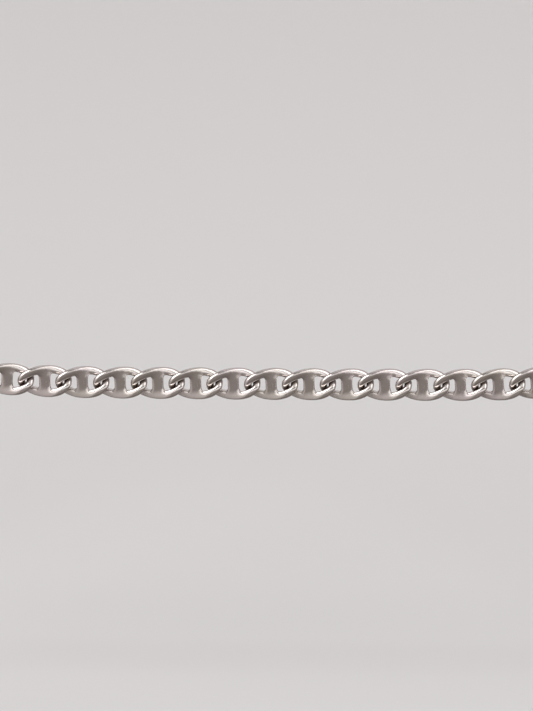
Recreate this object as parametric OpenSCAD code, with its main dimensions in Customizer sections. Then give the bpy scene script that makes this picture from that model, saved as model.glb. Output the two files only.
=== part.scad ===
// A mariner curb chain, in the shape that it takes when it is worn. Millimetres.
//
// Every link is an oval ring of wire with a flat bar across it. Its ends are twisted to opposite
// sides and the link is pressed, so that the chain lies flat and each link overlaps the next.
// The origin is where the necklace hangs at the nape. +X is to the right as seen from in front,
// -Y is forward and +Z is up. A link's own frame has x along the chain, y across it and z out of
// its face.

/* [Loop] */
// Number of links, odd so that one of them is in the middle of the front
link_count = 83; // [75:4:95]
// Distance along the chain from one link's middle to the next
pitch = 7.56; // [7.54:0.01:7.58]
// Number of links in front that are pieces of their own, odd too
front_count = 39; // [31:4:43]
// Lean of each link across the chain in the straight front, degrees
front_lean = 2.25; // [0:0.25:2.5]
// Distance from the middle of the front at which that lean begins to fade
lean_until = 50; // [45:1:55]
// Distance over which the lean fades out
lean_fade = 12; // [10:1:20]

/* [Link] */
// Length of a link over its two ends
link_length = 10.95; // [10.9:0.01:10.98]
// Width of a link over its two sides before it is twisted
link_width = 6.48; // [6.4:0.01:6.54]
// Squareness of the oval outline, where 2 is an ellipse
outline_power = 2.6; // [2.5:0.05:2.8]
// Width of the wire at the link's sides, in the plane of the ring
wire_width = 1.66; // [1.6:0.01:1.7]
// Width of the wire at the link's two ends
wire_end_width = 1.52; // [1.45:0.01:1.56]
// Depth of the wire at the link's sides, across the plane of the ring
wire_depth = 1.5; // [1.4:0.01:1.52]
// Depth of the wire at the link's two ends
wire_end_depth = 1.3; // [1.2:0.01:1.32]
// Squareness of the wire's section, where 2 is an ellipse
section_power = 2.26; // [2:0.02:2.4]
// Turn of each end from the middle of the link, degrees
end_twist = 41; // [40:0.5:44]
// Thickness of the link after it is pressed
pressed_depth = 3.2; // [3:0.05:3.3]
// Width of the bar across the link
bar_width = 2.24; // [2:0.02:2.4]

/* [Clasp] */
// Length that the clasp adds to the closed necklace
clasp_span = 22.5; // [22:0.1:23]
// Length of the clasp's plain body
clasp_length = 17; // [16:0.5:17.5]
// Width of the clasp's body
clasp_width = 6; // [5:0.1:6.5]
// Depth of the clasp's body
clasp_depth = 3.2; // [2.6:0.1:3.4]
// Bevel around the clasp's body
clasp_bevel = 0.7; // [0.4:0.1:1]
// Diameter of the wire of the eye at each end of the clasp
eye_wire = 1.2; // [1:0.05:1.3]
// Diameter of the eye's middle line
eye_across = 3.9; // [3.7:0.05:4.1]

/* [Hidden] */
// Length of the closed necklace along its middle
loop_length = link_count * pitch + clasp_span;
// Half length and half width of the ring's middle line
ring_a = (link_length - wire_end_width) / 2;
ring_b = (link_width - wire_width) / 2;
// Sides of the wire's section, and the gain that sets its flats just inside the true section and
// its corners just outside
section_sides = 6;
facet_gain = 1.05;
// The twist stops growing a little past the ring's middle line
twist_stop = 1.15;
// Angle over which a direction round the ring is measured
small_turn = 0.01;
// How sharply the wire's width and depth change from the link's sides to its ends
width_blend = 4;
depth_blend = 2;

// Angles round a quarter of the oval at which the wire has a section, from the link's end to the
// edge of its bar, and all of them round the oval
bar_edge = acos(pow(bar_width / 2 / ring_a, outline_power / 2));
QUARTER = [0, 18, 38, 59, bar_edge];
quarter_last = len(QUARTER) - 1;
STATIONS = concat(
    QUARTER,
    [for (i = [quarter_last : -1 : 0]) 180 - QUARTER[i]],
    [for (i = [1 : quarter_last]) 180 + QUARTER[i]],
    [for (i = [quarter_last : -1 : 1]) 360 - QUARTER[i]]
);
station_count = len(STATIONS);
// Sections at the bar's two edges on the far side and the near side of the ring, and the first
// and last corner of the section that the bar covers
BAR_TOP = [quarter_last, quarter_last + 1];
BAR_BOTTOM = [station_count - quarter_last, station_count - quarter_last - 1];
bar_first = 2;
bar_last = 4;

// The worn loop's right half from the middle of the front to the nape, as the control points of a
// smooth curve, each with the direction that the links face there
ROUTE = [
    // x,    y,      z,     face_x, face_y, face_z
    [  0, -140, -141.00,    0.00,  -1.00,  0.00],
    [ 24, -140, -140.94,    0.00,  -1.00,  0.00],
    [ 50, -140, -140.95,    0.00,  -1.00,  0.00],
    [ 71, -139, -139.30,    0.10,  -1.00,  0.00],
    [ 87, -136, -128.50,    0.24,  -0.97,  0.05],
    [ 95, -130, -110.50,    0.34,  -0.90,  0.22],
    [ 95, -122,  -89.00,    0.36,  -0.83,  0.42],
    [ 90, -111,  -67.00,    0.34,  -0.74,  0.58],
    [ 82,  -95,  -46.00,    0.34,  -0.62,  0.70],
    [ 75,  -75,  -28.00,    0.38,  -0.46,  0.80],
    [ 68,  -54,  -14.00,    0.44,  -0.26,  0.86],
    [ 59,  -34,   -5.00,    0.48,  -0.02,  0.88],
    [ 47,  -16,   -1.00,    0.42,   0.22,  0.86],
    [ 31,   -4,    0.00,    0.28,   0.45,  0.82],
    [ 16,    0,    0.00,    0.10,   0.58,  0.80],
    [  0,    0,    0.00,    0.00,   0.60,  0.80]
];
// Points sampled on each span of the curve
span_steps = 12;

// The curve's control point i, where those before the first and after the last are mirror images
function flipped(row) = [-row[0], row[1], row[2], -row[3], row[4], row[5]];
function control(i) =
    i < 0 ? flipped(ROUTE[-i]) :
    i >= len(ROUTE) ? flipped(ROUTE[2 * len(ROUTE) - 2 - i]) :
    ROUTE[i];
// Place and facing at u, from 0 to 1, on the span after control point i of the cubic B-spline
function on_span(i, u) = (
    pow(1 - u, 3) * control(i - 1) +
    (3 * pow(u, 3) - 6 * pow(u, 2) + 4) * control(i) +
    (-3 * pow(u, 3) + 3 * pow(u, 2) + 3 * u + 1) * control(i + 1) +
    pow(u, 3) * control(i + 2)
) / 6;
function place_of(row) = [row[0], row[1], row[2]];

SAMPLES = [
    for (i = [0 : len(ROUTE) - 2]) for (k = [0 : span_steps - 1]) on_span(i, k / span_steps),
    on_span(len(ROUTE) - 2, 1)
];
// Length along the curve at each sample, and the scale that makes the loop its real length
REACH = [
    for (i = 0, s = 0; i < len(SAMPLES);
         s = s + (i + 1 < len(SAMPLES) ? norm(place_of(SAMPLES[i + 1] - SAMPLES[i])) : 0), i = i + 1) s
];
route_scale = loop_length / 2 / REACH[len(REACH) - 1];
// One table for each column of the route, by the real length from the middle of the front
TRACKS = [for (c = [0 : 5]) [for (i = [0 : len(SAMPLES) - 1]) [REACH[i] * route_scale, SAMPLES[i][c]]]];

// Place and facing at a signed length s from the middle of the front, to the right if positive
function column(s, c) = (s < 0 && (c == 0 || c == 3) ? -1 : 1) * lookup(abs(s), TRACKS[c]);
function place(s) = route_scale * [column(s, 0), column(s, 1), column(s, 2)];
function facing(s) = [column(s, 3), column(s, 4), column(s, 5)];
function unit(v) = v / norm(v);
// Direction of the chain at s, taken across a pitch, or straight across the back at the nape
function along(s) =
    abs(s) > loop_length / 2 - pitch / 2 ? [-1, 0, 0] : unit(place(s + pitch / 2) - place(s - pitch / 2));
// Matrix from a link's own frame to the loop at s
function frame_at(s) =
    let (
        t = along(s),
        n = unit(facing(s) - t * (facing(s) * t)),
        w = cross(n, t),
        p = place(s)
    )
    [
        [t[0], w[0], n[0], p[0]],
        [t[1], w[1], n[1], p[1]],
        [t[2], w[2], n[2], p[2]],
        [0, 0, 0, 1]
    ];
// Lean of the link at s across the chain
function lean_at(s) = front_lean * max(0, min(1, 1 - (abs(s) - lean_until) / lean_fade));

// A power that keeps the sign, for the squared ovals of the ring and of its wire
function signed_pow(v, p) = sign(v) * pow(abs(v), p);
// The ring's middle line at an angle t round it, where 0 is the end that leads
function ring_point(t) = [
    ring_a * signed_pow(cos(t), 2 / outline_power),
    ring_b * signed_pow(sin(t), 2 / outline_power)
];
// Direction straight out of the ring at t, in its plane
function ring_out(t) =
    let (v = unit(ring_point(t + small_turn) - ring_point(t - small_turn)))
    [v[1], -v[0]];
// A corner of the wire's section: q is 0 on the outside of the ring and 90 on its face
function wire_corner(t, q) =
    let (
        c = ring_point(t),
        out = ring_out(t),
        end_w = pow(abs(cos(t)), width_blend),
        end_d = pow(abs(c[0]) / ring_a, depth_blend),
        half_w = facet_gain / 2 * (wire_width + (wire_end_width - wire_width) * end_w),
        half_d = facet_gain / 2 * (wire_depth + (wire_end_depth - wire_depth) * end_d),
        u = half_w * signed_pow(cos(q), 2 / section_power),
        z = half_d * signed_pow(sin(q), 2 / section_power)
    )
    [c[0] + out[0] * u, c[1] + out[1] * u, z];
// Twist about the link's length, then the press that flattens its two faces
function twisted(p) =
    let (q = -end_twist * max(-twist_stop, min(twist_stop, p[0] / ring_a)))
    [p[0], p[1] * cos(q) - p[2] * sin(q), p[1] * sin(q) + p[2] * cos(q)];
function pressed(p) = [p[0], p[1], sign(p[2]) * min(abs(p[2]), pressed_depth / 2)];

// Corners of the link, section by section, and the triangles that join them
LINK_POINTS = [
    for (t = STATIONS) for (j = [0 : section_sides - 1])
        pressed(twisted(wire_corner(t, j * 360 / section_sides)))
];
function corner(i, j) = (i % station_count) * section_sides + j % section_sides;
function two_triangles(a, b, c, d) = [[a, b, c], [a, c, d]];
function under_bar(i, j) = (i == BAR_TOP[0] || i == BAR_BOTTOM[1]) && j >= bar_first && j < bar_last;
RING_FACES = [
    for (i = [0 : station_count - 1]) for (j = [0 : section_sides - 1]) if (!under_bar(i, j))
        each two_triangles(corner(i, j), corner(i, j + 1), corner(i + 1, j + 1), corner(i + 1, j))
];
// The bar's outline on the ring's far side and on its near side, in matching order
function bar_rim(ends) = [
    for (j = [bar_first : bar_last]) corner(ends[0], j),
    for (j = [bar_last : -1 : bar_first]) corner(ends[1], j)
];
BAR_FACES =
    let (top = bar_rim(BAR_TOP), bottom = bar_rim(BAR_BOTTOM), n = len(top))
    [for (k = [0 : n - 1]) each two_triangles(top[k], top[(k + 1) % n], bottom[(k + 1) % n], bottom[k])];

// How far a link's end reaches past the point where two links meet, to the middle of its wire
tip_reach = ring_a - pitch / 2;
// How far a joint between two links goes into each of them, and its size
joint_bite = 0.45;
joint_across = 0.7;
joint_length = 2 * (tip_reach - wire_end_width / 2 + joint_bite);

// How far the middle of the clasp's eye is from the middle of the clasp, which leaves this gap
// between the eye and the point where it meets a link
eye_gap = 0.1;
eye_at = clasp_span / 2 + eye_gap + (eye_wire - eye_across) / 2;

// Links in each joined stretch, and how many pitches the last front link is from the middle
joined_count = (link_count - front_count) / 4;
front_last = (front_count - 1) / 2;

// Names of the pieces, where the front's links run from its left end to its right
function link_name(i) = str("link_", i < 10 ? "0" : "", i);

// One link in its own frame
module link_body() {
    polyhedron(points = LINK_POINTS, faces = concat(RING_FACES, BAR_FACES), convexity = 6);
}

// The link that is k pitches to the right of the middle of the front
module placed_link(k) {
    multmatrix(frame_at(k * pitch)) rotate([0, 0, lean_at(k * pitch)]) link_body();
}

// A short bar from inside the end of link k to inside the end of link k + 1
module hidden_joint(k) {
    multmatrix(frame_at((k + 0.5) * pitch))
        cube([joint_length, joint_across, joint_across], center = true);
}

// Link number i of the front, from its left end
module front_link(i) {
    color("silver") placed_link(i - 1 - front_last);
}

// A stretch of links round the neck from link first on, joined into one piece
module joined_links(first) {
    last = first + joined_count - 1;
    color("silver") union() {
        for (k = [first : last]) placed_link(k);
        for (k = [first : last - 1]) hidden_joint(k);
    }
}

// The clasp: a plain body with a ring at each end, turned as a link's end is
module clasp() {
    round_r = clasp_width / 2;
    color("silver") multmatrix(frame_at(loop_length / 2)) {
        hull() for (side = [-1, 1]) translate([side * (clasp_length / 2 - round_r), 0, 0]) {
            cylinder(r = round_r, h = clasp_depth - 2 * clasp_bevel, center = true, $fn = 32);
            cylinder(r = round_r - clasp_bevel, h = clasp_depth, center = true, $fn = 32);
        }
        for (side = [-1, 1]) translate([side * eye_at, 0, 0]) rotate([-side * end_twist, 0, 0])
            rotate_extrude($fn = 48) translate([eye_across / 2, 0]) circle(d = eye_wire, $fn = 24);
    }
}

for (i = [1 : front_count]) front_link(i);
joined_links(-front_last - joined_count);  // side_left_low
joined_links(-front_last - 2 * joined_count);  // side_left_high
joined_links(front_last + 1);  // side_right_low
joined_links(front_last + 1 + joined_count);  // side_right_high
clasp();
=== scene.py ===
"""A mariner curb chain in the shape it takes when it is worn, above a plain pale floor."""

import math

import bpy
import numpy as np
from mathutils import Matrix, Vector
from mathutils.bvhtree import BVHTree


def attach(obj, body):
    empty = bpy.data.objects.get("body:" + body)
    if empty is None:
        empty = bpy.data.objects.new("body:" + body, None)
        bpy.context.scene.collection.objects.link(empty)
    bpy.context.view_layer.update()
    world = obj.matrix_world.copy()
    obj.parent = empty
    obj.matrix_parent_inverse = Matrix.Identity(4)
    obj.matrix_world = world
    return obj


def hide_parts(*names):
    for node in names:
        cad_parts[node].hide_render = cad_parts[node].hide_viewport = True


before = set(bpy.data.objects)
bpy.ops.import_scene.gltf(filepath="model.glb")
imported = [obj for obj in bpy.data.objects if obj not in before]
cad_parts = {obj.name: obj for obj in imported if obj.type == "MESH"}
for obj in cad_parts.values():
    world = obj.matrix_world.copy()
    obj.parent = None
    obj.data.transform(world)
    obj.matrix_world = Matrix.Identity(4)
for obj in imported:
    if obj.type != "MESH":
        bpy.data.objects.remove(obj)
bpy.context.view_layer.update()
MM = 0.001

# The loop, with the CAD's own numbers, in millimetres
LINK_COUNT, PITCH, FRONT_COUNT, CLASP_SPAN = 83, 7.56, 39, 22.5
LOOP = LINK_COUNT * PITCH + CLASP_SPAN
# The links' lean in degrees, the length from the middle where it starts to fade, and over what length
LEAN, LEAN_UNTIL, LEAN_FADE = 2.25, 50.0, 12.0
# The route's control points from the nape to the middle of the front, and the samples in each span
SPAN_STEPS = 12
ROUTE = np.array([
    # x, y, z, then the direction that the links face there
    (0, -140, -141.00, 0.00, -1.00, 0.00),
    (24, -140, -140.94, 0.00, -1.00, 0.00),
    (50, -140, -140.95, 0.00, -1.00, 0.00),
    (71, -139, -139.30, 0.10, -1.00, 0.00),
    (87, -136, -128.50, 0.24, -0.97, 0.05),
    (95, -130, -110.50, 0.34, -0.90, 0.22),
    (95, -122, -89.00, 0.36, -0.83, 0.42),
    (90, -111, -67.00, 0.34, -0.74, 0.58),
    (82, -95, -46.00, 0.34, -0.62, 0.70),
    (75, -75, -28.00, 0.38, -0.46, 0.80),
    (68, -54, -14.00, 0.44, -0.26, 0.86),
    (59, -34, -5.00, 0.48, -0.02, 0.88),
    (47, -16, -1.00, 0.42, 0.22, 0.86),
    (31, -4, 0.00, 0.28, 0.45, 0.82),
    (16, 0, 0.00, 0.10, 0.58, 0.80),
    (0, 0, 0.00, 0.00, 0.60, 0.80),
])
MIRROR = np.array((-1, 1, 1, -1, 1, 1))


def control(i):
    """The route's control point i, mirrored past either end."""
    if i < 0:
        return ROUTE[-i] * MIRROR
    if i >= len(ROUTE):
        return ROUTE[2 * len(ROUTE) - 2 - i] * MIRROR
    return ROUTE[i]


def on_span(i, u):
    """Place and facing on the cubic B-spline's span after control point i."""
    return ((1 - u) ** 3 * control(i - 1) + (3 * u ** 3 - 6 * u ** 2 + 4) * control(i)
            + (-3 * u ** 3 + 3 * u ** 2 + 3 * u + 1) * control(i + 1) + u ** 3 * control(i + 2)) / 6


samples = [on_span(i, k / SPAN_STEPS) for i in range(len(ROUTE) - 1) for k in range(SPAN_STEPS)]
samples = np.array(samples + [on_span(len(ROUTE) - 2, 1)])
reach = np.concatenate([[0], np.cumsum(np.linalg.norm(np.diff(samples[:, :3], axis=0), axis=1))])
route_scale = LOOP / 2 / reach[-1]
reach = reach * route_scale


def track(s):
    """Place and facing at a signed length s from the middle of the front."""
    row = np.array([np.interp(abs(s), reach, samples[:, c]) for c in range(6)])
    row[:3] *= route_scale
    return row * MIRROR if s < 0 else row


def unit(v):
    return v / np.linalg.norm(v)


def frame_at(s):
    """Rotation and place of a link's own frame at s: x along the chain, y across it, z out of its face."""
    row = track(s)
    if abs(s) > LOOP / 2 - PITCH / 2:
        t = np.array((-1.0, 0.0, 0.0))
    else:
        t = unit(track(s + PITCH / 2)[:3] - track(s - PITCH / 2)[:3])
    n = unit(row[3:] - t * (row[3:] @ t))
    return np.stack([t, np.cross(n, t), n], axis=1), row[:3]


def lean_at(s):
    return math.radians(LEAN) * max(0.0, min(1.0, 1 - (abs(s) - LEAN_UNTIL) / LEAN_FADE))


# One link, in millimetres. A section goes round the wire: corner 0 is on the ring's outside, a
# quarter of the corners further is on its face, and half way is on the side towards the bar.
CORNERS = 16
# The oval through the wire's middle: its half length, its half width and its power
RING_A, RING_B, OUTLINE = 4.70, 2.41, 2.6
# The wire's width and depth at the sides and at the ends, and the power of its section there
WIRE_W, WIRE_END_W, WIRE_D, WIRE_END_D = 1.66, 1.52, 1.50, 1.42
SECTION, END_SECTION = 3.0, 2.6
# The turn at each end, and where it stops growing, as a share of the half length
END_TWIST, TWIST_STOP = math.radians(41), 1.15
# Half the depth between the pressed faces, and the softness of their shoulders
PRESSED, PRESS_SOFT = 1.59, 0.12
# Sections of one quarter of the oval, in degrees, and those under the bar, by their x
QUARTER = (0, 7, 15, 23, 32, 42, 52, 62, 71)
BAR_X = (1.42, 1.10, 0.56)
# The gap that the bar closes reaches this many stations and corners each way from its middle
BAR_SIDE = 3
# The bar's half depth, and the power of its section
BAR_HALF_DEPTH, BAR_SQUARE = 0.73, 5
# The bar's own sections above its middle: place as a share of the gap, width as a share of the foot's,
# and share of the ring's twist
BAR_FOOT = ((0.92, 0.94, 0.7), (0.76, 0.82, 0.4), (0.5, 0.78, 0.2))
# The grain's unit, how far along the bar's grain starts, and how many units round each next link's
GRAIN_UNIT, BAR_GRAIN, LINK_GRAIN = 10, 40, 3.1


def signed_pow(v, p):
    return np.sign(v) * np.abs(v) ** p


def between(a, b, share):
    return a + (b - a) * share


def station_angles():
    """Angles round the oval where the wire has a section, closer together at the bar's edges."""
    quarter = list(QUARTER)
    quarter += [math.degrees(math.acos((x / RING_A) ** (OUTLINE / 2))) for x in BAR_X]
    half = quarter + [90] + [180 - q for q in reversed(quarter)]
    return np.radians(np.array(half + [180 + q for q in half[1:-1]]))


def ring_point(t):
    """Points on the oval at the angles t."""
    x = RING_A * signed_pow(np.cos(t), 2 / OUTLINE)
    y = RING_B * signed_pow(np.sin(t), 2 / OUTLINE)
    return np.array((x, y))


def ring_direction(t, step=1e-4):
    """Unit direction of the oval at the angles t."""
    v = ring_point(t + step) - ring_point(t - step)
    return v / np.hypot(*v)


def twisted(p, share=1.0):
    """Turns points about the link's length by their place along it, by a share of the whole twist."""
    q = -END_TWIST * share * np.clip(p[..., 0] / RING_A, -TWIST_STOP, TWIST_STOP)
    y, z = p[..., 1], p[..., 2]
    return np.stack([p[..., 0], y * np.cos(q) - z * np.sin(q), y * np.sin(q) + z * np.cos(q)], axis=-1)


def pressed(p):
    """Flattens the two faces, with a soft shoulder."""
    p = p.copy()
    z = np.abs(p[..., 2])
    h = np.clip(0.5 + 0.5 * (PRESSED - z) / PRESS_SOFT, 0, 1)
    p[..., 2] = np.sign(p[..., 2]) * (PRESSED * (1 - h) + z * h - PRESS_SOFT * h * (1 - h))
    return p


def link_cage():
    """The link's points, faces and the grain's coordinates for each face corner."""
    t = station_angles()
    count, mid = len(t), CORNERS // 2
    top, bottom = count // 4, 3 * count // 4
    c, v = ring_point(t), ring_direction(t)
    endness = np.abs(c[0]) / RING_A
    half_w = 0.5 * between(WIRE_W, WIRE_END_W, np.cos(t) ** 4)
    half_d = 0.5 * between(WIRE_D, WIRE_END_D, endness ** 2)
    q = 2 * math.pi * np.arange(CORNERS) / CORNERS
    power = 2 / between(SECTION, END_SECTION, endness[:, None])
    u = half_w[:, None] * signed_pow(np.cos(q)[None, :], power)
    z = half_d[:, None] * signed_pow(np.sin(q)[None, :], power)
    flat = np.stack([c[0][:, None] + v[1][:, None] * u, c[1][:, None] - v[0][:, None] * u, z], axis=-1)
    points = list(pressed(twisted(flat)).reshape(-1, 3))

    step = np.hypot(*(np.roll(c, -1, axis=1) - c))
    along = np.concatenate([[0], np.cumsum(step)])
    around = math.pi * (WIRE_W + WIRE_D) / 2 * np.arange(CORNERS + 1) / CORNERS
    faces, grain = [], []

    def corner(i, j):
        return (i % count) * CORNERS + j % CORNERS

    def under_bar(i, j):
        inside = mid - BAR_SIDE <= j < mid + BAR_SIDE
        return inside and any(m - BAR_SIDE <= i < m + BAR_SIDE for m in (top, bottom))

    for i in range(count):
        for j in range(CORNERS):
            if not under_bar(i, j):
                around_face = ((i, j), (i + 1, j), (i + 1, j + 1), (i, j + 1))
                faces.append(tuple(corner(*at) for at in around_face))
                grain += [(along[a], around[b]) for a, b in around_face]

    def rim(m, way):
        """The edge of the gap that the bar closes, from one corner round the bar's section."""
        lo, hi, ends = mid - BAR_SIDE, mid + BAR_SIDE, (m - way * BAR_SIDE, m + way * BAR_SIDE)
        loop = [(i, lo) for i in range(ends[0], ends[1], way)]
        loop += [(ends[1], j) for j in range(lo, hi)]
        loop += [(i, hi) for i in range(ends[1], ends[0], -way)]
        return loop + [(ends[0], j) for j in range(hi, lo, -1)]

    far, near = rim(top, 1), rim(bottom, -1)
    shape = np.array([flat[i, j] for i, j in far])
    across = np.abs(shape[:, 0]) / np.abs(shape[:, 0]).max()
    deep = np.abs(shape[:, 2]) / np.abs(shape[:, 2]).max()
    rounding = (across ** BAR_SQUARE + deep ** BAR_SQUARE) ** (-1 / BAR_SQUARE)
    gap = shape[:, 1].min()
    loops = [[corner(i, j) for i, j in far]]
    for y, width, share in BAR_FOOT + tuple((-y, width, share) for y, width, share in reversed(BAR_FOOT)):
        ring = np.stack([np.sign(shape[:, 0]) * across * rounding * BAR_X[0] * width,
                         np.full(len(shape), y * gap),
                         np.sign(shape[:, 2]) * deep * rounding * BAR_HALF_DEPTH], axis=-1)
        loops.append(list(range(len(points), len(points) + len(ring))))
        points += list(twisted(ring, share))
    loops.append([corner(i, j) for i, j in near])
    girth = np.concatenate([[0], np.cumsum(np.linalg.norm(np.roll(shape, -1, axis=0) - shape, axis=1))])
    for a, b in zip(loops[:-1], loops[1:]):
        for k in range(len(a)):
            m = (k + 1) % len(a)
            faces.append((a[k], a[m], b[m], b[k]))
            sides = (girth[k], girth[k + 1], girth[k + 1], girth[k])
            grain += [(points[p][1] + BAR_GRAIN, side) for p, side in zip(faces[-1], sides)]
    return np.array(points), faces, np.array(grain) / GRAIN_UNIT


POINTS, FACES, GRAIN = link_cage()


def turned(points, s):
    """A link's points at s along the chain, in millimetres."""
    a = lean_at(s)
    lean = np.array(((math.cos(a), -math.sin(a), 0), (math.sin(a), math.cos(a), 0), (0, 0, 1)))
    turn, place = frame_at(s)
    return points @ lean.T @ turn.T + place


# Rays over the half sphere above a point, how far off the metal they start, and how far they see
RAYS, RAY_START, RAY_REACH = 48, 0.06, 2.6


def recesses():
    """How closed in each of the link's points is, from 0 to 1, with a neighbour on either side; the silver
    is painted darker by it, as shade with some tarnish.
    """
    cloud, shells = [], []
    for n, k in enumerate((0, -1, 1)):
        cloud.append(turned(POINTS, k * PITCH))
        shells += [[v + n * len(POINTS) for v in f] for f in FACES]
    tree = BVHTree.FromPolygons([Vector(p) for p in np.concatenate(cloud)], shells)
    mesh = bpy.data.meshes.new("trial")
    mesh.from_pydata(cloud[0].tolist(), [], FACES)
    mesh.update()
    z = 1 - (np.arange(RAYS) + 0.5) / RAYS
    turn = np.arange(RAYS) * math.pi * (3 - math.sqrt(5))
    r = np.sqrt(1 - z ** 2)
    out = []
    for vertex in mesh.vertices:
        n = vertex.normal.normalized()
        side = n.orthogonal().normalized()
        up = n.cross(side)
        start = vertex.co + n * RAY_START
        shut = total = 0.0
        for k in range(RAYS):
            ray = side * (r[k] * math.cos(turn[k])) + up * (r[k] * math.sin(turn[k])) + n * z[k]
            distance = tree.ray_cast(start, ray, RAY_REACH)[3]
            total += z[k]
            if distance is not None:
                shut += z[k] * (1 - distance / RAY_REACH) ** 0.5
        out.append(shut / total)
    bpy.data.meshes.remove(mesh)
    return np.array(out)


RECESS = recesses()


def metal_mesh(name, points, faces, grain, shut, material):
    """A smooth mesh in metres, with the grain as its UV map and the recess, which sets the painted shade,
    as an attribute.
    """
    mesh = bpy.data.meshes.new(name)
    mesh.from_pydata((points * MM).tolist(), [], faces)
    mesh.polygons.foreach_set("use_smooth", [True] * len(faces))
    mesh.uv_layers.new(name="grain").data.foreach_set("uv", grain.ravel())
    mesh.attributes.new("recess", "FLOAT", "POINT").data.foreach_set("value", shut)
    mesh.materials.append(material)
    mesh.update()
    return mesh


def chain_mesh(name, stations, material):
    """A mesh of one link at each place s along the chain."""
    points = np.concatenate([turned(POINTS, s) for s in stations])
    faces = [[v + n * len(POINTS) for v in f] for n in range(len(stations)) for f in FACES]
    grain = np.concatenate([GRAIN + (0, LINK_GRAIN * n) for n in range(len(stations))])
    return metal_mesh(name, points, faces, grain, np.tile(RECESS, len(stations)), material)


def add_piece(name, mesh, levels, nodes):
    """Puts a mesh in the scene, subdivided, in the place of the CAD nodes."""
    piece = bpy.data.objects.new(name, mesh)
    bpy.context.scene.collection.objects.link(piece)
    sub = piece.modifiers.new("round", "SUBSURF")
    sub.levels = sub.render_levels = levels
    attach(piece, "root")
    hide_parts(*nodes)


def add_node(tree, kind, **values):
    made = tree.nodes.new(kind)
    for key, value in values.items():
        setattr(made, key, value)
    return made


# The silver's patterns, by their noise scale for each metre: the tint's drift, the gloss's clouds,
# the waves left by the hammer and the press, and the small dents
TINT_SCALE, CLOUD_SCALE, WAVE_SCALE, DENT_SCALE = 95, 620, 1000, 2600
# The tint's other end, as a share of the tint, and the range of the noise that it drifts over
TINT_DRIFT, TINT_RANGE = (0.965, 0.985, 0.94), (0.35, 0.65)
# The rubbed lines' stretch along and across the wire, and their noise's scale and detail
LINE_STRETCH, LINE_SCALE, LINE_DETAIL = (2.2, 60), 2.0, 4
# Each family of scratches: its turn in degrees, its stretch along and across, and the range of its
# noise over which a scratch sets in
SCRATCHES = ((38, 5, 110, 0.63, 0.70), (-55, 4, 90, 0.64, 0.71))
# Where the brown of painted shade and tarnish starts by the recess, how fast it thickens, and how far the
# clouds shift it
TARNISH_SHADE_FROM, TARNISH_SHADE_GAIN, TARNISH_SHADE_CLOUD = 0.27, 2.6, 0.55
# How much the painted shade and tarnish, the rubbed lines, the clouds and the scratches add to the
# roughness
ROUGH_TARNISH_SHADE, ROUGH_LINES, ROUGH_CLOUD, ROUGH_SCRATCH = 0.2, 0.10, 0.06, 0.10
# What the lines and the clouds add on average, taken off again
ROUGH_MEAN = 0.08
# Heights as shares of the waves', and the bump's distance in metres
DENT_HEIGHT, LINE_HEIGHT, SCRATCH_DEPTH, WAVE_HEIGHT = 0.25, 0.10, 0.05, 0.000036


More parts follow.
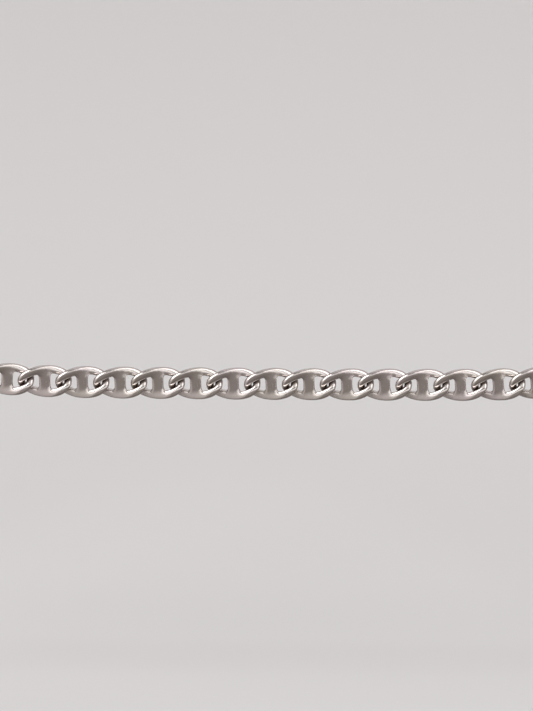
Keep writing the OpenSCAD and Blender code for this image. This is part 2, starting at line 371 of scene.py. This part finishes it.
def silver(name, tint, tarnish_shade_colour, rough):
    """Polished silver with fine rubbed lines along its grain, and a brown where it is closed in: painted
    shade, with some tarnish.
    """
    mat = bpy.data.materials.new(name)
    mat.use_nodes = True
    tree = mat.node_tree
    shader = tree.nodes["Principled BSDF"]
    shader.inputs["Metallic"].default_value = 1.0

    def math_node(operation, a, b, clamp=False):
        made = add_node(tree, "ShaderNodeMath", operation=operation, use_clamp=clamp)
        for socket, value in zip(made.inputs, (a, b)):
            if isinstance(value, (int, float)):
                socket.default_value = value
            else:
                tree.links.new(value, socket)
        return made.outputs[0]

    def plus(value, other, amount, clamp=False):
        """value + other * amount"""
        return math_node("ADD", value, math_node("MULTIPLY", other, amount), clamp)

    def noise(vector, scale, detail):
        made = add_node(tree, "ShaderNodeTexNoise")
        tree.links.new(vector, made.inputs["Vector"])
        made.inputs["Scale"].default_value = scale
        made.inputs["Detail"].default_value = detail
        return made.outputs["Fac"]

    def stretched(turn, along, across):
        """The grain's coordinates, turned by some degrees and drawn out."""
        made = add_node(tree, "ShaderNodeMapping")
        tree.links.new(grain, made.inputs["Vector"])
        made.inputs["Rotation"].default_value = (0, 0, math.radians(turn))
        made.inputs["Scale"].default_value = (along, across, 1)
        return made.outputs[0]

    def above(value, low, high):
        """0 below low, 1 above high, and smooth between."""
        made = add_node(tree, "ShaderNodeMapRange", interpolation_type="SMOOTHSTEP")
        tree.links.new(value, made.inputs["Value"])
        made.inputs["From Min"].default_value = low
        made.inputs["From Max"].default_value = high
        return made.outputs["Result"]

    def mixed(factor, a, b):
        made = add_node(tree, "ShaderNodeMix", data_type="RGBA")
        for socket, value in (("Factor", factor), ("A", a), ("B", b)):
            if isinstance(value, tuple):
                made.inputs[socket].default_value = (*value, 1)
            else:
                tree.links.new(value, made.inputs[socket])
        return made.outputs["Result"]

    place = add_node(tree, "ShaderNodeTexCoord").outputs["Object"]
    grain = add_node(tree, "ShaderNodeUVMap", uv_map="grain").outputs[0]
    shut = add_node(tree, "ShaderNodeAttribute", attribute_name="recess").outputs["Fac"]
    cloudy = noise(place, CLOUD_SCALE, 3)
    lines = noise(stretched(0, *LINE_STRETCH), LINE_SCALE, LINE_DETAIL)
    families = [above(noise(stretched(turn, along, across), 1.0, 1), low, high)
                for turn, along, across, low, high in SCRATCHES]
    scratches = math_node("ADD", *families, clamp=True)

    # Painted shade: the colour turns brown where the link is closed in, standing in for the shade in
    # hollows and between links, with some tarnish
    tarnish_shade = math_node("MULTIPLY", math_node("SUBTRACT", shut, TARNISH_SHADE_FROM), TARNISH_SHADE_GAIN)
    tarnish_shade = plus(tarnish_shade, math_node("SUBTRACT", cloudy, 0.5), TARNISH_SHADE_CLOUD, clamp=True)
    drifted = tuple(c * share for c, share in zip(tint, TINT_DRIFT))
    metal = mixed(above(noise(place, TINT_SCALE, 1), *TINT_RANGE), tint, drifted)
    tree.links.new(mixed(tarnish_shade, metal, tarnish_shade_colour), shader.inputs["Base Color"])

    gloss = plus(math_node("MULTIPLY", tarnish_shade, ROUGH_TARNISH_SHADE), lines, ROUGH_LINES)
    gloss = plus(gloss, cloudy, ROUGH_CLOUD)
    gloss = plus(gloss, scratches, ROUGH_SCRATCH)
    tree.links.new(math_node("ADD", gloss, rough - ROUGH_MEAN, clamp=True), shader.inputs["Roughness"])

    height = plus(noise(place, WAVE_SCALE, 1), noise(place, DENT_SCALE, 2), DENT_HEIGHT)
    height = plus(height, lines, LINE_HEIGHT)
    height = math_node("SUBTRACT", height, math_node("MULTIPLY", scratches, SCRATCH_DEPTH))
    bump = add_node(tree, "ShaderNodeBump")
    bump.inputs["Strength"].default_value = 1.0
    bump.inputs["Distance"].default_value = WAVE_HEIGHT
    tree.links.new(height, bump.inputs["Height"])
    tree.links.new(bump.outputs[0], shader.inputs["Normal"])
    return mat


# The brown of each silver is painted shade in its hollows, with some tarnish
link_metal = silver("silver", tint=(0.905, 0.863, 0.858), tarnish_shade_colour=(0.35, 0.295, 0.265), rough=0.16)
clasp_metal = silver("silver_clasp", tint=(0.90, 0.87, 0.86), tarnish_shade_colour=(0.42, 0.36, 0.32), rough=0.18)

front_last = (FRONT_COUNT - 1) // 2
joined_count = (LINK_COUNT - FRONT_COUNT) // 4
for i in range(1, FRONT_COUNT + 1):
    mesh = chain_mesh(f"silver_link_{i:02d}", [(i - 1 - front_last) * PITCH], link_metal)
    add_piece(f"silver_link_{i:02d}", mesh, levels=1, nodes=[f"link_{i:02d}"])
JOINED = {
    "side_left_low": -front_last - joined_count,
    "side_left_high": -front_last - 2 * joined_count,
    "side_right_low": front_last + 1,
    "side_right_high": front_last + 1 + joined_count,
}
for name, first in JOINED.items():
    mesh = chain_mesh(f"silver_{name}", [k * PITCH for k in range(first, first + joined_count)], link_metal)
    add_piece(f"silver_{name}", mesh, levels=1, nodes=[name])

# The clasp: a rounded plain body, and the eye at each end of it
CLASP_LENGTH, CLASP_WIDTH, CLASP_DEPTH, CLASP_BEVEL, CLASP_GROOVE = 17.0, 6.0, 3.2, 0.7, 0.16
EYE_AT, EYE_RING, EYE_WIRE = 10.0, 1.95, 0.6
EYE_ROUND, EYE_CORNERS = 32, 12
# The grain's step for each of the eye's faces, along and around its wire
EYE_GRAIN = (0.038, 0.031)
# How closed in the groove and the ends are, which sets the painted shade and tarnish there, over what
# length that fades, and how far outside the body the ends are closed most
GROOVE_SHUT, GROOVE_FADE, END_SHUT, END_FADE, END_OUT = 0.45, 0.12, 0.6, 0.5, 0.1


def clasp_body():
    """The body's points, faces and grain: outlines from the back to the front, and two flat faces."""
    points, faces = [], []
    straight = CLASP_LENGTH / 2 - CLASP_WIDTH / 2
    ends = [(1, a) for a in range(0, 91, 15)] + [(-1, a) for a in range(90, 271, 15)]
    ends += [(1, a) for a in range(270, 360, 15)]
    half = CLASP_DEPTH / 2
    # How far in each outline of the back half lies, and its depth
    back_half = [(2.2, -half), (CLASP_BEVEL + 0.25, -half), (CLASP_BEVEL, -half), (0.22, -half + 0.3),
                 (0, -half + 0.75), (0, -0.3), (0.02, -0.14), (CLASP_GROOVE, -0.05)]
    loops = []
    for inset, z in back_half + [(inset, -z) for inset, z in reversed(back_half)]:
        r = CLASP_WIDTH / 2 - inset
        loops.append(list(range(len(points), len(points) + len(ends))))
        for side, a in ends:
            a = math.radians(a)
            points.append((side * straight + r * math.cos(a), r * math.sin(a), z))
    for a, b in zip(loops[:-1], loops[1:]):
        for k in range(len(a)):
            m = (k + 1) % len(a)
            faces.append((a[k], a[m], b[m], b[k]))
    # Each flat face is closed across its middle line, from one end's middle to the other's
    for loop, way in ((loops[0], -1), (loops[-1], 1)):
        n = len(loop)
        for k in range(1, n // 2):
            quad = (loop[k - 1], loop[k], loop[n - k], loop[(n - k + 1) % n])
            faces.append(tuple(dict.fromkeys(quad))[::way])
        faces.append((loop[n // 2 - 1], loop[n // 2], loop[n // 2 + 1])[::way])
    grain = []
    for face in faces:
        for x, y, z in (points[p] for p in face):
            grain.append((x / GRAIN_UNIT, (y + z) / GRAIN_UNIT))
    return points, faces, grain


def clasp_eye(side, first):
    """The points, faces and grain of the eye at one end, with its points counted from first."""
    points, faces, grain = [], [], []
    tilt = -side * END_TWIST
    for i in range(EYE_ROUND):
        t = 2 * math.pi * i / EYE_ROUND
        for j in range(EYE_CORNERS):
            q = 2 * math.pi * j / EYE_CORNERS
            r = EYE_RING + EYE_WIRE * math.cos(q)
            x, y, z = r * math.cos(t), r * math.sin(t), EYE_WIRE * math.sin(q)
            y, z = y * math.cos(tilt) - z * math.sin(tilt), y * math.sin(tilt) + z * math.cos(tilt)
            points.append((x + side * EYE_AT, y, z))
            around_face = ((i, j), (i + 1, j), (i + 1, j + 1), (i, j + 1))
            faces.append([first + (a % EYE_ROUND) * EYE_CORNERS + b % EYE_CORNERS for a, b in around_face])
            grain += [(a * EYE_GRAIN[0], b * EYE_GRAIN[1]) for a, b in around_face]
    return points, faces, grain


def clasp_mesh():
    """The body and both eyes in one mesh, closed in at the groove and where the eyes leave the body, where
    the silver is painted with shade and some tarnish.
    """
    points, faces, grain = clasp_body()
    for side in (-1, 1):
        eye_points, eye_faces, eye_grain = clasp_eye(side, len(points))
        points += eye_points
        faces += eye_faces
        grain += eye_grain
    points = np.array(points)
    # The closed-in measure here sets the painted shade, with some tarnish
    length, end = np.abs(points[:, 0]), CLASP_LENGTH / 2 + END_OUT
    shut = GROOVE_SHUT * np.exp(-(points[:, 2] / GROOVE_FADE) ** 2) * (length < end)
    shut = np.maximum(shut, END_SHUT * np.exp(-((length - end) / END_FADE) ** 2))
    turn, place = frame_at(LOOP / 2)
    return metal_mesh("silver_clasp", points @ turn.T + place, faces, np.array(grain), shut, clasp_metal)


add_piece("silver_clasp", clasp_mesh(), levels=2, nodes=["clasp"])

# The camera, where the photo was taken from: a little above the chain and a little to its right
FRONT_MIDDLE = Vector(track(0)[:3] * MM)
PHOTO_HEIGHT, PHOTO_PITCH = 711, 37.82
PIXEL = PITCH / PHOTO_PITCH * MM
# The middle of the front lies this many pixels right of the picture's middle, and below it
MIDDLE_RIGHT, MIDDLE_BELOW = 4.65, 28.57
ELEVATION, YAW, ROLL, DISTANCE = math.radians(14.45), math.radians(1.84), math.radians(-0.03), 1.0
SENSOR = 36


def pointing(azimuth, elevation):
    """Unit vector at an azimuth from straight in front and an elevation, in radians."""
    level = math.cos(elevation)
    return Vector((level * math.sin(azimuth), -level * math.cos(azimuth), math.sin(elevation)))


back = pointing(YAW, ELEVATION)
camera_turn = back.to_track_quat("Z", "Y").to_matrix() @ Matrix.Rotation(ROLL, 3, "Z")
right, up = camera_turn.col[0], camera_turn.col[1]
aim = FRONT_MIDDLE - right * (MIDDLE_RIGHT * PIXEL) + up * (MIDDLE_BELOW * PIXEL)
camera = bpy.data.objects.new("camera", bpy.data.cameras.new("camera"))
bpy.context.scene.collection.objects.link(camera)
camera.matrix_world = Matrix.Translation(aim + back * DISTANCE) @ camera_turn.to_4x4()
camera.data.sensor_width = SENSOR
camera.data.lens = SENSOR * DISTANCE / (PHOTO_HEIGHT * PIXEL)
camera.data.clip_end = 50
bpy.context.scene.camera = camera

# A wide pale floor under the chain
FLOOR_Z, FLOOR_SIDE = -0.195, 12
floor_mesh = bpy.data.meshes.new("floor")
floor_corners = [(x * FLOOR_SIDE, y * FLOOR_SIDE, FLOOR_Z) for x, y in ((-1, -1), (1, -1), (1, 1), (-1, 1))]
floor_mesh.from_pydata(floor_corners, [], [(0, 1, 2, 3)])
floor = bpy.data.objects.new("floor", floor_mesh)
bpy.context.scene.collection.objects.link(floor)
floor_mat = bpy.data.materials.new("floor")
floor_mat.use_nodes = True
floor_mat.node_tree.nodes["Principled BSDF"].inputs["Base Color"].default_value = (0.68, 0.695, 0.705, 1)
floor_mat.node_tree.nodes["Principled BSDF"].inputs["Roughness"].default_value = 0.9
floor_mesh.materials.append(floor_mat)
floor.visible_glossy = False

# A soft light straight above, for the floor and the shadow on it
overhead = bpy.data.objects.new("overhead", bpy.data.lights.new("overhead", "AREA"))
bpy.context.scene.collection.objects.link(overhead)
overhead.location = (0.1, -0.2, 1.2)
overhead.data.shape = "DISK"
overhead.data.size = 0.5
overhead.data.energy = 3.7
overhead.visible_glossy = False

# The light all round by the angle up from the horizon in front: degrees, brightness and warmth
STOPS = ((-180, 0.22, 0.10), (-150, 0.24, 0.12), (-120, 0.22, 0.14), (-90, 0.18, 0.18), (-64, 0.14, 0.20),
         (-40, 0.18, 0.19), (-15, 0.23, 0.19), (0, 0.24, 0.17), (12, 0.56, 0.09), (26, 1.12, 0.07),
         (45, 0.03, 0.08), (60, 0.73, 0.08), (85, 0.22, 0.09), (110, 0.13, 0.09), (150, 0.20, 0.10),
         (180, 0.22, 0.10))
# How much of the warmth is taken from the green, as blue loses all of it
WARM_GREEN = 0.7
# Each soft light: azimuth from straight in front, elevation, where it is full, where it ends, brightness
LIGHTS = ((-82, 43, 21, 25, 2.7), (-82, -4, 40, 70, 0.26), (59, 49, 13, 24, 1.08), (55, 7, 16, 20, 0.24),
          (165, 45, 10, 45, 0.40))
# The green and the blue of the soft lights against their red
LIGHT_GREEN, LIGHT_BLUE = 0.925, 0.91

world = bpy.data.worlds.new("studio")
bpy.context.scene.world = world
world.use_nodes = True
sky = world.node_tree

direction = add_node(sky, "ShaderNodeTexCoord").outputs["Generated"]
split = add_node(sky, "ShaderNodeSeparateXYZ")
sky.links.new(direction, split.inputs[0])
forward = add_node(sky, "ShaderNodeMath", operation="MULTIPLY")
sky.links.new(split.outputs["Y"], forward.inputs[0])
forward.inputs[1].default_value = -1
angle = add_node(sky, "ShaderNodeMath", operation="ARCTAN2")
sky.links.new(split.outputs["Z"], angle.inputs[0])
sky.links.new(forward.outputs[0], angle.inputs[1])
turn_share = add_node(sky, "ShaderNodeMapRange")
sky.links.new(angle.outputs[0], turn_share.inputs["Value"])
turn_share.inputs["From Min"].default_value = -math.pi
turn_share.inputs["From Max"].default_value = math.pi
ramp = add_node(sky, "ShaderNodeValToRGB")
sky.links.new(turn_share.outputs[0], ramp.inputs[0])
while len(ramp.color_ramp.elements) < len(STOPS):
    ramp.color_ramp.elements.new(0.5)
for element, (degrees, value, warmth) in zip(ramp.color_ramp.elements, STOPS):
    element.position = (degrees + 180) / 360
    element.color = (value, value * (1 - WARM_GREEN * warmth), value * (1 - warmth), 1)
light = ramp.outputs[0]
for azimuth, elevation, full, end, value in LIGHTS:
    near = add_node(sky, "ShaderNodeVectorMath", operation="DOT_PRODUCT")
    sky.links.new(direction, near.inputs[0])
    near.inputs[1].default_value = pointing(math.radians(azimuth), math.radians(elevation))
    lobe = add_node(sky, "ShaderNodeMapRange", interpolation_type="SMOOTHSTEP")
    sky.links.new(near.outputs["Value"], lobe.inputs["Value"])
    lobe.inputs["From Min"].default_value = math.cos(math.radians(end))
    lobe.inputs["From Max"].default_value = math.cos(math.radians(full))
    add = add_node(sky, "ShaderNodeMix", data_type="RGBA", blend_type="ADD")
    sky.links.new(lobe.outputs["Result"], add.inputs["Factor"])
    sky.links.new(light, add.inputs["A"])
    add.inputs["B"].default_value = (value, value * LIGHT_GREEN, value * LIGHT_BLUE, 1)
    light = add.outputs["Result"]
sky.links.new(light, sky.nodes["Background"].inputs["Color"])
bpy.context.scene.view_settings.view_transform = "Standard"

bpy.context.view_layer.update()
